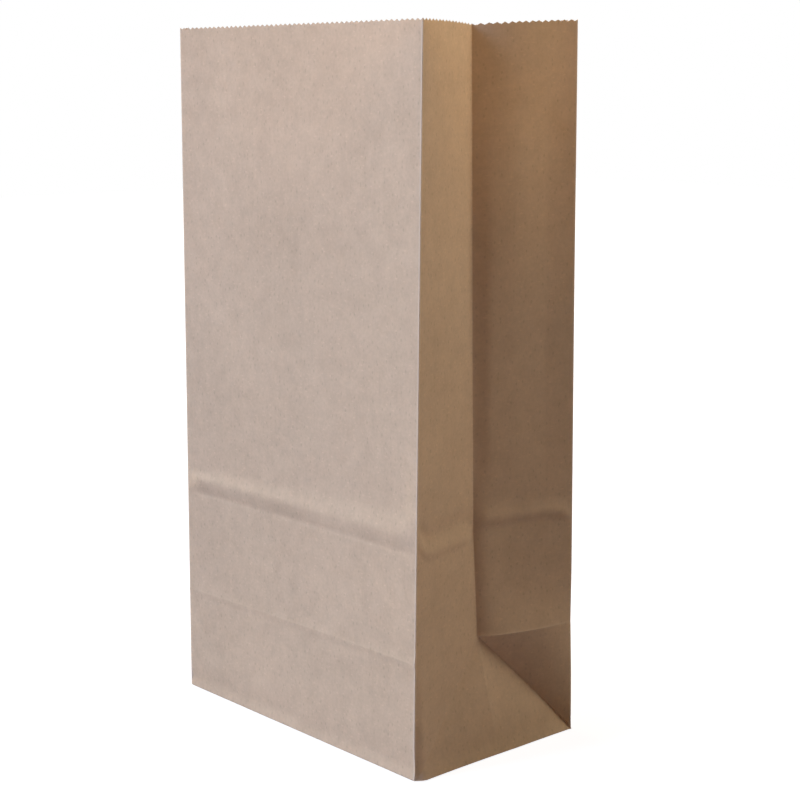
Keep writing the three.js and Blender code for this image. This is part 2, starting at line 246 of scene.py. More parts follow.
def dome(a, b, c):
    """1 in the middle of a triangle and 0 along its sides, from a point's three shares of it."""
    return 27 * a * b * c


def shown(value, start, full, fading, end):
    """1 between full and fading, 0 before start and after end, with no kink at any."""
    return rise(value, start, full) * (1 - rise(value, fading, end))


def near(h, level, span):
    """1 at a level, falling to 0 at a span above it and below it."""
    return max(0.0, 1 - abs(h - level) / span)


def fold_level(across):
    """Height of the fold over the base, across from 0 at -X to 1 at +X. The back and the gussets'
    back halves are folded there, and the front has a faint mark."""
    return lerp(BACK_FOLD_LEFT, BACK_FOLD_RIGHT, across)


def side_level(side):
    """The same on a gusset. Its side is 1 for the one at +X and -1 for the one at -X."""
    return fold_level(1 if side > 0 else 0)


def unevenness(place, h, from_fold, seed):
    """The standing sheet's slow waves and cockles, which the folds hold flat."""
    free = rise(from_fold, 0, SETTLE) * rise(h, 0, SETTLE)
    slow = noise.noise(Vector((place / SWELL_WIDTH, h / SWELL_TALL, seed)))
    small = noise.noise(Vector((place / COCKLE_SIZE, h / COCKLE_SIZE, seed + 0.5)))
    return free * SWELL * slow + rise(from_fold, 0, COCKLE_SIZE) * COCKLE * small


def step_up(h, foot, step, slope):
    """A pressed ridge: a straight step out from its foot, and a slope that eases back over it."""
    if h < foot or h > foot + step + slope:
        return 0.0
    if h < foot + step:
        return math.sin((h - foot) / step * math.pi / 2)
    return (1 - (h - foot - step) / slope) ** 1.5


def ridge(h, from_fold, share):
    """Height of the pressed ridge over a broad panel, share from 0 at -X to 1 at +X."""
    slope = lerp(RIDGE_SLOPE_LEFT, RIDGE_SLOPE_RIGHT, share)
    height = lerp(RIDGE_HEIGHT_LEFT, RIDGE_HEIGHT_RIGHT, share)
    eased = CREST + slope
    sink = RIDGE_SINK * share * shown(h, CREST, eased, eased, eased + SINK_FADE)
    lip = near(h, RIDGE_FOOT, LIP_SPAN if h < RIDGE_FOOT else RIDGE_STEP)
    out = height * step_up(h, RIDGE_FOOT, RIDGE_STEP, slope) - RIDGE_LIP * lip - sink
    return out * rise(from_fold, 0, RIDGE_FADE)


def gusset_ridge_foot(s):
    """Level at which the ridge starts on a gusset."""
    front = -FRONT_SAG * rise(HALF_DEPTH + s, 0, FRONT_SAG_REACH)
    back = BACK_LIFT * rise(HALF_DEPTH - s, 0, BACK_LIFT_REACH)
    return RIDGE_FOOT + lerp(front, back, rise(s, -CREASE_BLEND, CREASE_BLEND))


def gusset_ridge(s, h, from_fold):
    """The ridge on a gusset, narrower, with a groove over it in the front half."""
    foot = gusset_ridge_foot(s)
    height = GUSSET_RIDGE_FRONT if s < 0 else GUSSET_RIDGE_BACK
    out = height * step_up(h, foot, GUSSET_STEP, GUSSET_SLOPE)
    if s < 0:
        middle = foot + GUSSET_STEP + GUSSET_SLOPE
        out -= GROOVE * (1 - rise(abs(h - middle), 0, GROOVE_SPAN))
    return out * rise(from_fold, 0, GUSSET_FADE)


def foot_flare(h):
    """How far the walls stand out close over the base: a flare in a slight hollow."""
    over = clamp((h - FOOT_FLARE_HEIGHT) / (FOOT_DIP_HEIGHT - FOOT_FLARE_HEIGHT))
    return FOOT_FLARE * max(0.0, 1 - h / FOOT_FLARE_HEIGHT) - FOOT_DIP * (1 - over) ** 2


def set_in(side, h):
    """How far a gusset's crease lies behind the side folds."""
    mouth = MOUTH_SET_IN_RIGHT if side > 0 else MOUTH_SET_IN_LEFT
    apex = side_level(side) + APEX_RISE
    if h < RIDGE_FOOT:
        return lerp(APEX_SET_IN, WAIST_SET_IN, (h - apex) / (RIDGE_FOOT - apex))
    return lerp(WAIST_SET_IN, mouth, (h - RIDGE_FOOT) / (BAG_HEIGHT - RIDGE_FOOT))


def front_fold_y(side, h):
    lean = FRONT_LEAN_RIGHT if side > 0 else FRONT_LEAN_LEFT
    return lean * h / BAG_HEIGHT - HALF_DEPTH


def back_fold_y(side, h):
    kink = SIDE_FOLD_KINK * near(h, side_level(side), KINK_SPAN)
    flare = MOUTH_FLARE * rise(h, FLARE_FOOT, BAG_HEIGHT)
    foot = BACK_FOOT_TUCK * max(0.0, 1 - h / BACK_FOLD_LEFT)
    return HALF_DEPTH - BACK_LEAN * h / BAG_HEIGHT - kink + flare - foot


def side_fold_y(side, s, h):
    """The side fold of the half that s lies in."""
    return front_fold_y(side, h) if s < 0 else back_fold_y(side, h)


def crease_y(side, h):
    return (front_fold_y(side, h) + back_fold_y(side, h)) / 2


def front_panel(p, h):
    """A point of the front panel, p from its left fold."""
    share = p / PANEL_WIDTH
    level = fold_level(share)
    from_fold = min(p, PANEL_WIDTH - p)
    fold = lerp(front_fold_y(-1, h), front_fold_y(1, h), share)
    bow = FRONT_BOW * arch(share) * rise(h, 0, RIDGE_FOOT)
    dip = FRONT_MARK_DIP * arch(share) * near(h, level, level)
    mark = lerp(MARK_HEIGHT_LEFT, MARK_HEIGHT_RIGHT, share)
    mark *= step_up(h, level - MARK_STEP, MARK_STEP, MARK_SLOPE)
    out = bow - dip + mark + foot_flare(h)
    out += ridge(h, from_fold, share) + unevenness(p, h, from_fold, seed=1.3)
    return Vector((p - HALF_WIDTH, fold - out, h))


def back_panel(p, h):
    """A point of the back panel, p from its right fold."""
    share = p / PANEL_WIDTH
    level = fold_level(1 - share)
    from_fold = min(p, PANEL_WIDTH - p)
    fold = lerp(back_fold_y(1, h), back_fold_y(-1, h), share)
    bow = BACK_BOW * arch(share) * rise(h, 0, RIDGE_FOOT)
    dip = BACK_FOLD_DIP * arch(share) * near(h, level, level)
    out = bow - dip + foot_flare(h)
    out += ridge(h, from_fold, 1 - share) + unevenness(p, h, from_fold, seed=5.9)
    spread = FOOT_SPREAD * BACK_SPREAD_LEFT * max(0.0, 1 - h / level)
    return Vector(((HALF_WIDTH - p) * (1 + spread / HALF_WIDTH), fold + out, h))


def curl(away, h):
    """How far a gusset's back half stands out of the plane between its crease and its side fold:
    only close beside the crease low down, evenly over it halfway up, and most near the mouth."""
    strip = LOW_CURL * away / LOW_CURL_PLACE * math.exp(1 - away / LOW_CURL_PLACE)
    strip *= 1 - rise(h, RIDGE_FOOT, RIDGE_FOOT + LOW_CURL_FADE)
    even = MIDDLE_CURL * rise(away, 0, MIDDLE_CURL_EDGE) * (1 - away)
    even *= shown(h, RIDGE_FOOT, CURL_START, MIDDLE_CURL_END, CURL_FULL)
    near_mouth = CURL * early_arch(away) * rise(h, CURL_START, CURL_FULL)
    return strip + even + near_mouth


def back_bend(s, h):
    """A soft bend up the back half, a little way from its side fold."""
    inner = (s - BEND_PLACE / 2) / (BEND_PLACE / 2)
    outer = (HALF_DEPTH - s) / (HALF_DEPTH - BEND_PLACE)
    return -BEND * shown(h, *BEND_SHOWS) * clamp(min(inner, outer))


def gusset_above(side, s, h, level):
    """Above the fold over the base: two halves on a crease."""
    tuck = CREASE_DROP + APEX_RISE
    crease_h = h - CREASE_DROP + near(h, level, tuck) * tuck
    away = abs(s) / HALF_DEPTH
    crease = Vector((HALF_WIDTH - set_in(side, h), crease_y(side, h), h))
    edge = Vector((HALF_WIDTH, side_fold_y(side, s, h), h))
    point = crease.lerp(edge, away)
    point.z += (crease_h - h) * (1 - away) ** 3
    if s > 0:
        point.x += curl(away, h) + back_bend(s, h)
        point.x += CROSS_BULGE * arch(away) * max(0.0, 1 - (h - level) / CROSS_BULGE_FADE) ** 2
    return point


def base_end(s, up, apex):
    """The triangle that stands on the base's end, up from 0 at its foot to 1 at its apex."""
    away = abs(s) / HALF_DEPTH
    point = Vector((HALF_WIDTH, s, 0)).lerp(apex, up)
    point.y = s + apex.y * up
    point.x += MIDDLE_LINE * near(s, 0, MIDDLE_LINE_WIDTH) * shown(up, *MIDDLE_LINE_SHOWS)
    if s > 0:
        return point + TUCK_DIRECTION * DIAGONAL_TUCK * half_dome(up, away)
    crumple = near(1 - away - up, CRUMPLE_PLACE, CRUMPLE_WIDTH)
    point.x -= CRUMPLE * crumple * shown(up, *CRUMPLE_SHOWS)
    return point


def beside_diagonal(side, s, h, level, apex):
    """The triangle between a diagonal, a side fold and the level of the fold over the base."""
    away = abs(s) / HALF_DEPTH
    inward = 1 - away
    down = 1 - h / level
    past = away - down  # 0 on the diagonal, 1 where the side fold meets the fold over it
    edge_y = side_fold_y(side, s, h)
    point = Vector((HALF_WIDTH, edge_y, h))
    point += (apex - Vector((HALF_WIDTH, 0, level))) * inward
    point.y -= edge_y * inward
    if s > 0:
        point += TUCK_DIRECTION * DIAGONAL_TUCK * half_dome(inward, down)
        point.x += BACK_CORNER_BULGE * dome(inward, down, past)
        up_to_fold = past / max(away, 0.01)  # 0 on the diagonal, 1 on the fold over it
        point.x += (curl(away, h) + CROSS_BULGE * arch(away)) * up_to_fold
    return point


def gusset_below(side, s, h, level):
    """Below the fold over the base: three triangles that meet at an apex."""
    apex = Vector((HALF_WIDTH - APEX_SET_IN, crease_y(side, level), level + APEX_RISE))
    if abs(s) / HALF_DEPTH + h / level <= 1:
        return base_end(s, h / level, apex)
    return beside_diagonal(side, s, h, level, apex)


def gusset(side, s, h):
    """A point of a gusset, s from its middle line, negative towards the front."""
    level = side_level(side)
    away = abs(s) / HALF_DEPTH
    point = gusset_above(side, s, h, level) if h >= level else gusset_below(side, s, h, level)
    from_edge = HALF_DEPTH - abs(s)
    blunt = clamp(from_edge / CHAMFER)
    if s > 0:
        blunt = lerp(BACK_SPREAD_LEFT, 1, clamp(from_edge / BACK_SPREAD_FADE))
    spread = FOOT_SPREAD * blunt - FOOT_BOW * (1 - away**2)
    point.x += spread * max(0.0, 1 - h / level)
    point.x += foot_flare(h) * rise(from_edge, 0, FOOT_FLARE_EDGE)
    from_fold = min(from_edge, abs(s))
    point.x += gusset_ridge(s, h, from_fold)
    waves = GUSSET_WAVES * unevenness(s, h, from_fold, seed=3.1 + side)
    point.x += waves * rise(h, level, level + SETTLE)
    point.x *= side
    return point


Panel = namedtuple("Panel", "name width start teeth at across")

PANELS = [
    Panel("front", PANEL_WIDTH, 0, FRONT_TEETH, front_panel, lambda p: p / PANEL_WIDTH),
    Panel(
        "right",
        GUSSET_DEPTH,
        PANEL_WIDTH,
        GUSSET_TEETH,
        lambda p, h: gusset(1, p - HALF_DEPTH, h),
        lambda p: 1,
    ),
    Panel(
        "back",
        PANEL_WIDTH,
        PANEL_WIDTH + GUSSET_DEPTH,
        FRONT_TEETH,
        back_panel,
        lambda p: 1 - p / PANEL_WIDTH,
    ),
    Panel(
        "left",
        GUSSET_DEPTH,
        2 * PANEL_WIDTH + GUSSET_DEPTH,
        GUSSET_TEETH,
        lambda p, h: gusset(-1, HALF_DEPTH - p, h),
        lambda p: 0,
    ),
]


def has_crease(panel):
    """True for a gusset."""
    return panel.width == GUSSET_DEPTH


def round_over(start, corner, end, t):
    """A point on the round that joins two stretches of sheet."""
    return start.lerp(corner, t).lerp(corner.lerp(end, t), t)


class Column:
    """One line up the sheet. place is how far round the sheet it stands, from the left end of the
    front panel; past_crease is how far it stands from a gusset's crease, above 0 in the back half;
    over and under are what a second layer adds outside and inside."""

    def __init__(self, panel, p, at):
        self.panel = panel
        self.p = p
        self.at = at
        self.place = panel.start + p
        self.across = clamp(panel.across(clamp(p, 0, panel.width)))
        self.from_fold = min(abs(p), abs(panel.width - p))
        self.is_gusset = has_crease(panel)
        towards_back = 1 if panel.name == "right" else -1
        self.past_crease = (p - HALF_DEPTH) * towards_back if self.is_gusset else 0.0
        self.over = self.under = 0.0
        if panel.name == "back":
            self.lap_seam()

    def lap_seam(self):
        share = (self.p - SEAM_START) / SEAM_WIDTH
        if 0 <= share <= 1:
            self.over = PAPER * (1 - share)
            self.under = PAPER * share

    def level(self):
        return fold_level(self.across)

    def mouth_rise(self):
        """How far the cut stands above the bag's height here."""
        if self.panel.name == "right":
            return MOUTH_RISE * clamp(self.p / GUSSET_DEPTH * 2 - 1)
        if self.panel.name == "back":
            return MOUTH_RISE * clamp(1 - self.p / PANEL_WIDTH)
        return 0.0

    def tooth_depth(self):
        """How far below the tips the cut edge lies here."""
        pitch = self.panel.width / self.panel.teeth
        phase = (self.p / pitch) % 1
        number = round((self.place + pitch / 2) / pitch)
        place_in_noise = Vector((number * 1.7, 0.3, 0.8))
        uneven = 1 + TOOTH_SPREAD * noise.noise(place_in_noise)
        return TOOTH_DEPTH * uneven * 2 * min(phase, 1 - phase)


def straight_columns(panel):
    """One at each tip and root of the teeth, clear of the folds' rounds."""
    half_pitch = panel.width / panel.teeth / 2
    places = [half_pitch * k for k in range(1, 2 * panel.teeth)]
    columns = []
    for p in places:
        if has_crease(panel) and abs(p - HALF_DEPTH) < half_pitch / 2:
            continue
        columns.append(Column(panel, p, lambda h, p=p: panel.at(p, h)))
    if panel.name == "back":
        for p in seam_places():
            columns.append(Column(panel, p, lambda h, p=p: panel.at(p, h)))
    return columns


def seam_places():
    """The lap joint's two cuts, each with a place just outside it."""
    seam_end = SEAM_START + SEAM_WIDTH
    return [SEAM_START - SEAM_GUARD, SEAM_START, seam_end, seam_end + SEAM_GUARD]


def fold_columns(panel, following):
    """The round of the fold at the right end of a panel."""
    columns = []
    for k in range(-FOLD_STEPS, FOLD_STEPS + 1):
        t = (k / FOLD_STEPS + 1) / 2

        def at(h, t=t):
            start, end = panel.at(panel.width - FOLD_REACH, h), following.at(FOLD_REACH, h)
            return round_over(start, panel.at(panel.width, h), end, t)

        if k <= 0:
            columns.append(Column(panel, panel.width + FOLD_REACH * k / FOLD_STEPS, at))
        else:
            column = Column(following, FOLD_REACH * k / FOLD_STEPS, at)
            column.place = panel.start + panel.width + column.p
            columns.append(column)
    return columns


def crease_columns(panel):
    """The round of a gusset's crease."""
    columns = []
    for k in range(-FOLD_STEPS, FOLD_STEPS + 1):
        t = (k / FOLD_STEPS + 1) / 2

        def at(h, t=t):
            start = panel.at(HALF_DEPTH - FOLD_REACH, h)
            end = panel.at(HALF_DEPTH + FOLD_REACH, h)
            return round_over(start, panel.at(HALF_DEPTH, h), end, t)

        columns.append(Column(panel, HALF_DEPTH + FOLD_REACH * k / FOLD_STEPS, at))
    return columns


def guard_columns(panel):
    """A column just outside each of a panel's rounds."""
    reach = FOLD_REACH + FOLD_GUARD
    places = [reach, panel.width - reach]
    if has_crease(panel):
        places += [HALF_DEPTH - reach, HALF_DEPTH + reach]
    return [Column(panel, p, lambda h, p=p: panel.at(p, h)) for p in places]


def all_columns():
    columns = []
    for k, panel in enumerate(PANELS):
        columns += straight_columns(panel)
        if has_crease(panel):
            columns += crease_columns(panel)
        columns += fold_columns(panel, PANELS[(k + 1) % len(PANELS)])
        columns += guard_columns(panel)
    return sorted(columns, key=lambda column: column.place)


def base_level(column):
    """Height of the sheet's middle in the base, where each panel ends in its own flap."""
    return LAYER_LEVEL + FLAP_LAYER[column.panel.name] * LAYER_STEP


def base_point(column, inward):
    """A point of the base, inward from the foot of a column."""
    foot = column.at(0)
    x = foot.x * (1 - inward / (HALF_WIDTH + FOOT_SPREAD))
    y = foot.y * (1 - inward / HALF_DEPTH)
    return Vector((x, y, base_level(column)))


def foot_point(column, t):
    start = base_point(column, FOOT_RADIUS)
    return round_over(start, base_point(column, 0), column.at(FOOT_RADIUS), t)


Row = namedtuple("Row", "kind at")


def wall_row(kind, height):
    """A row of the walls; height gives its level at a column."""
    return Row(kind, lambda column: (column.at(height(column)), height(column)))


def ridge_foot(column):
    if not column.is_gusset:
        return RIDGE_FOOT
    return gusset_ridge_foot(clamp(column.past_crease, -HALF_DEPTH, HALF_DEPTH))


def all_rows():
    """Rows run round the sheet, from inside the base outwards and then up to the mouth."""
    rows = []
    for inward in (RIM_WIDTH, RIM_WIDTH / 2, FOOT_RADIUS * 2):
        rows.append(Row("base", lambda c, i=inward: (base_point(c, i), -i)))
    for k in range(FOOT_STEPS + 1):
        at = lambda c, t=k / FOOT_STEPS: (foot_point(c, t), FOOT_RADIUS * (2 * t - 1))
        rows.append(Row("foot", at))
    for k in range(1, LOW_STEPS + 1):
        kind = "fold" if k == LOW_STEPS else "low"
        rows.append(wall_row(kind, lambda c, share=k / LOW_STEPS: share * c.level()))
    for above in ROWS_ON_FOLD:
        rows.append(wall_row("waist", lambda c, above=above: c.level() + above))
    for k in range(1, WAIST_STEPS + 1):
        height = lambda c, share=k / WAIST_STEPS: lerp(c.level(), ridge_foot(c) - WAIST_END, share)
        rows.append(wall_row("waist", height))
    ridge_places = [-LIP_SPAN, -LIP_SPAN / 2]
    ridge_places += [RIDGE_STEP * k / STEP_ROWS for k in range(STEP_ROWS + 1)]
    slope_step = RIDGE_SLOPE_RIGHT / SLOPE_ROWS
    ridge_places += [RIDGE_STEP + slope_step * k for k in range(1, SLOPE_ROWS + 1)]
    for place in ridge_places:
        rows.append(wall_row("ridge", lambda c, place=place: ridge_foot(c) + place))
    top = BAG_HEIGHT - TOOTH_DEPTH - UPPER_END
    for k in range(1, UPPER_STEPS + 1):
        height = lerp(RIDGE_END, top, k / UPPER_STEPS)
        rows.append(wall_row("upper", lambda c, height=height: height))
    rows.append(wall_row("mouth", lambda c: BAG_HEIGHT))
    return rows


def sheet_normals(grid):
    """Unit normals at the grid points, facing out of the bag."""
    normals = []
    for j, row in enumerate(grid):
        over_row = grid[min(j + 1, len(grid) - 1)]
        under_row = grid[max(j - 1, 0)]
        line = []
        for i, point in enumerate(row):
            ahead = (row[(i + 1) % len(row)] - point).normalized()
            behind = (point - row[i - 1]).normalized()
            line.append((ahead + behind).cross(over_row[i] - under_row[i]).normalized())
        normals.append(line)
    return normals


class Mesh:
    """Collects faces and points, with the points' distances from the folds that are pale from wear
    and painted highlight, their places on the flat sheet (round it, up it and on which face), and
    those on sharp folds."""

    def __init__(self):
        self.points = []
        self.from_side_fold = []
        self.from_cross_fold = []
        self.flat = []
        self.faces = []
        self.sharp = set()

    def add_point(self, point, flat, side_fold=FAR_FROM_FOLD, cross_fold=FAR_FROM_FOLD):
        self.points.append(point * MILLIMETRE)
        self.flat.append(flat)
        self.from_side_fold.append(min(side_fold, FAR_FROM_FOLD))
        self.from_cross_fold.append(min(cross_fold, FAR_FROM_FOLD))
        return len(self.points) - 1


def side_fold_distance(column, h):
    """Distance from the nearest side fold."""
    return column.from_fold if h >= 0 else FAR_FROM_FOLD


def cross_fold_distance(column, h):
    """Distance from the fold over the base."""
    is_folded = column.past_crease > 0 or column.panel.name == "back"
    return abs(h - column.level()) if is_folded and h >= 0 else FAR_FROM_FOLD


def on_diagonal(column, h):
    if not column.is_gusset or h > column.level() or h < 0:
        return False
    return abs(abs(column.past_crease) / HALF_DEPTH - (1 - h / column.level())) < 1e-4


def split_forward(column):
    """True where a gusset's diagonals run from lower left to upper right, seen from outside."""
    return column.is_gusset and column.p < HALF_DEPTH


def add_walls(mesh):
    columns = all_columns()
    rows = all_rows()
    placed = [[row.at(column) for column in columns] for row in rows]
    grid = [[point for point, _ in line] for line in placed]
    normals = sheet_normals(grid)
    index_of = {}
    for side in (1, -1):
        index = []
        for j, row in enumerate(rows):
            line = []
            for i, column in enumerate(columns):
                point, h = placed[j][i]
                extra = column.over if side > 0 else column.under
                if row.kind in ("base", "foot"):
                    extra = 0
                shifted = point + normals[j][i] * side * (PAPER / 2 + extra)
                if row.kind == "mouth":
                    shifted.z += column.mouth_rise() - column.tooth_depth()
                flat = (column.place, h, side)
                distances = side_fold_distance(column, h), cross_fold_distance(column, h)
                line.append(mesh.add_point(shifted, flat, *distances))
            index.append(line)
        index_of[side] = index
        add_grid(mesh, index, columns, side)
        mark_sharp(mesh, index, rows, columns, placed)
    close_edge(mesh, index_of[1][-1], index_of[-1][-1])
    close_edge(mesh, index_of[-1][0], index_of[1][0])


def add_grid(mesh, index, columns, side):
    for j in range(len(index) - 1):
        for i, column in enumerate(columns):
            following = (i + 1) % len(columns)
            a, b = index[j][i], index[j][following]
            d, c = index[j + 1][i], index[j + 1][following]
            cells = [(a, b, c), (a, c, d)] if split_forward(column) else [(a, b, d), (b, c, d)]
            for cell in cells:
                mesh.faces.append(cell if side > 0 else cell[::-1])


def mark_sharp(mesh, index, rows, columns, placed):
    """The diagonals and the fold over them are sharp."""
    for j, row in enumerate(rows):
        for i, column in enumerate(columns):
            on_cross_fold = row.kind == "fold" and column.past_crease > 0
            if on_diagonal(column, placed[j][i][1]) or on_cross_fold:
                mesh.sharp.add(index[j][i])


def close_edge(mesh, outer, inner):
    """Closes the paper's thickness between two edges that run alike."""
    for i in range(len(outer)):
        following = (i + 1) % len(outer)
        mesh.faces.append((outer[i], outer[following], inner[following], inner[i]))


def toothed_line(start, end):
    """A cut edge from start to end, with its roots to the left of that direction."""
    run = end - start
    count = max(1, round(run.length / TOOTH_PITCH))
    root = Vector((-run.y, run.x, 0)).normalized() * TOOTH_DEPTH
    line = [start]
    for k in range(count):
        line.append(start + run * (k + 0.5) / count + root)
        line.append(start + run * (k + 1) / count)
    return line


def add_flap(mesh, free, held, layer, flat_of):
    """One flap of the base: rows run from its toothed free edge to where it is held. flat_of gives
    a point's place on the flat sheet."""
    line = toothed_line(*free)
    held_line = [held[0].lerp(held[1], k / (len(line) - 1)) for k in range(len(line))]
    index_of = {}
    for side in (1, -1):
        level = LAYER_LEVEL + layer * LAYER_STEP - side * (PAPER / 2 + LOOSE)
        index = []
        for j in range(FLAP_ROWS + 1):
            row = []
            for edge, hold in zip(line, held_line):
                point = edge.lerp(hold, j / FLAP_ROWS)
                flat = (*flat_of(point), side)
                row.append(mesh.add_point(Vector((point.x, point.y, level)), flat))
            index.append(row)
        index_of[side] = index
        for j in range(FLAP_ROWS):
            for i in range(len(line) - 1):
                a, b = index[j][i], index[j][i + 1]
                d, c = index[j + 1][i], index[j + 1][i + 1]
                mesh.faces.append((a, d, c, b) if side > 0 else (a, b, c, d))
    close_edge(mesh, rim_of(index_of[-1]), rim_of(index_of[1]))


def rim_of(index):
    """The points round a flap's grid, in order."""
    right = [row[-1] for row in index[1:-1]]
    left = [row[0] for row in index[1:-1]]
    return index[0] + right + index[-1][::-1] + left[::-1]


def turned(edge):
    """A flap's edge, turned half round for the flap across the base."""
    return [Vector((-end.x, -end.y, 0)) for end in edge]


def add_broad_flaps(mesh):
    x, y = HALF_WIDTH - FLAP_LENGTH, HALF_DEPTH - FLAP_LENGTH
    free = [Vector((-x, y, 0)), Vector((x, y, 0))]
    x, y = HALF_WIDTH - FLAP_HOLD, HALF_DEPTH - FLAP_HOLD
    held = [Vector((-x, y, 0)), Vector((x, y, 0))]
    middle = PANEL_WIDTH + GUSSET_DEPTH + HALF_WIDTH
    on_back = lambda q: (middle - q.x, q.y - HALF_DEPTH)
    on_front = lambda q: (HALF_WIDTH + q.x, -q.y - HALF_DEPTH)
    add_flap(mesh, free, held, FLAP_LAYER["back"], on_back)
    add_flap(mesh, turned(free), turned(held), FLAP_LAYER["front"], on_front)


def add_side_flaps(mesh):
    x, y = HALF_WIDTH - FLAP_LENGTH, HALF_DEPTH - FLAP_HOLD
    free = [Vector((x, y, 0)), Vector((x, -y, 0))]
    x = HALF_WIDTH - FLAP_HOLD
    held = [Vector((x, y, 0)), Vector((x, -y, 0))]
    right_middle = PANEL_WIDTH + HALF_DEPTH
    left_middle = 2 * PANEL_WIDTH + 1.5 * GUSSET_DEPTH
    on_right = lambda q: (right_middle + q.y, q.x - HALF_WIDTH)
    on_left = lambda q: (left_middle - q.y, -q.x - HALF_WIDTH)
    add_flap(mesh, free, held, FLAP_LAYER["right"], on_right)
    add_flap(mesh, turned(free), turned(held), FLAP_LAYER["left"], on_left)


def bag_object():
    mesh = Mesh()
    add_walls(mesh)
    add_broad_flaps(mesh)
    add_side_flaps(mesh)
    data = bpy.data.meshes.new("lunch_bag")
    data.from_pydata(mesh.points, [], mesh.faces)
    distances = {"side_fold_mm": mesh.from_side_fold, "cross_fold_mm": mesh.from_cross_fold}
    for name, values in distances.items():
        layer = data.attributes.new(name, "FLOAT", "POINT")
        layer.data.foreach_set("value", values)
    sheet = data.uv_layers.new(name="sheet")
    for loop in data.loops:
        place, h, side = mesh.flat[loop.vertex_index]
        across = place * MILLIMETRE + (INSIDE_SHIFT if side < 0 else 0.0)
        sheet.data[loop.index].uv = (across, (h + FLAT_MARGIN) * MILLIMETRE)
    data.validate()
    data.update()
    data.shade_smooth()
    data.set_sharp_from_angle(angle=math.radians(SHARP_ANGLE))
    sharp = data.attributes["sharp_edge"].data
    for edge in data.edges:
        if all(v in mesh.sharp for v in edge.vertices):
            sharp[edge.index].value = True
    bag = bpy.data.objects.new("lunch_bag", data)
    bpy.context.scene.collection.objects.link(bag)
    return bag


def linear(hex_colour):
    """An sRGB hex colour as linear RGBA."""
    channels = [int(hex_colour[k : k + 2], 16) / 255 for k in (0, 2, 4)]
    return (*[c / 12.92 if c <= 0.04045 else ((c + 0.055) / 1.055) ** 2.4 for c in channels], 1)


def add_node(tree, kind, settings=None, inputs=None):
    """Adds a node. settings are its own properties; inputs are values, or outputs to link."""
    node = tree.nodes.new(kind)
    for name, value in (settings or {}).items():
        setattr(node, name, value)
    for name, value in (inputs or {}).items():
        if isinstance(value, bpy.types.NodeSocket):
            tree.links.new(value, node.inputs[name])
        else:
            node.inputs[name].default_value = value
    return node


def every(millimetres):
    """Scale of a pattern on the flat sheet, whose coordinates are metres."""
    return 1000 / millimetres


def new_material(name):
    material = bpy.data.materials.new(name)
    material.use_nodes = True
    material.node_tree.nodes.clear()
    return material, material.node_tree


def cloudiness(tree, sheet):
    """Brightness of the bare paper: thicker and thinner places, felt grain and fibres that lie
    along the sheet, all drawn a little coarser than real so that a picture can hold them."""
    tone = BARE_TONE
    for size, detail, depth in ((PATCHES, 2, 0.2), (CLOUDS, 4, 0.3), (GRAIN, 3, 0.26)):
        spread = add_node(
            tree,
            "ShaderNodeTexNoise",
            {"noise_dimensions": "2D"},
            {"Vector": sheet, "Scale": every(size), "Detail": detail, "Roughness": 0.6},
        ).outputs["Fac"]
        tone = add_node(
            tree, "ShaderNodeMath", {"operation": "MULTIPLY_ADD"}, {0: spread, 1: depth, 2: tone}
        ).outputs[0]
    return tone


def lying_fibres(tree, sheet):
    """Fine streaks along the sheet, where the fibres were drawn out on the machine."""
    along = add_node(
        tree,
        "ShaderNodeMapping",
        {},
        {"Vector": sheet, "Scale": (every(FIBRE_WIDTH), every(FIBRE_LENGTH), 1)},
    ).outputs["Vector"]
    return add_node(
        tree,
        "ShaderNodeTexNoise",
        {"noise_dimensions": "2D"},
        {"Vector": along, "Scale": 1, "Detail": 2},
    ).outputs["Fac"]


def flecks(tree, sheet, wide, tall, share):
    """Single specks, 1 at their middles: one in a share of the cells, which are wide by tall."""
    place = add_node(
        tree, "ShaderNodeMapping", {}, {"Vector": sheet, "Scale": (every(wide), every(tall), 1)}
    ).outputs["Vector"]
    cell = add_node(
        tree, "ShaderNodeTexVoronoi", {"voronoi_dimensions": "2D"}, {"Vector": place, "Scale": 1}
    )
    from_middle = cell.outputs["Distance"]
    spot = add_node(
        tree,
        "ShaderNodeMapRange",
        {"interpolation_type": "SMOOTHSTEP"},
        {"Value": from_middle, "From Min": 0.04, "From Max": 0.2, "To Min": 1, "To Max": 0},
    ).outputs["Result"]
    lot = add_node(
        tree, "ShaderNodeSeparateColor", {}, {"Color": cell.outputs["Color"]}
    ).outputs["Red"]
    chosen = add_node(tree, "ShaderNodeMath", {"operation": "LESS_THAN"}, {0: lot, 1: share})
    return add_node(
        tree, "ShaderNodeMath", {"operation": "MULTIPLY"}, {0: spot, 1: chosen.outputs[0]}
    ).outputs[0]


def wear_and_highlight(tree, attribute, reach, strength):
    """How pale a fold is from wear and from a painted highlight of its round catching light, fading
    out over its reach in millimetres.
    """
    distance = add_node(tree, "ShaderNodeAttribute", {"attribute_name": attribute}).outputs["Fac"]
    return add_node(
        tree,
        "ShaderNodeMapRange",
        {"interpolation_type": "SMOOTHSTEP"},
        {"Value": distance, "From Min": 0.1, "From Max": reach, "To Min": strength, "To Max": 0},
    ).outputs["Result"]


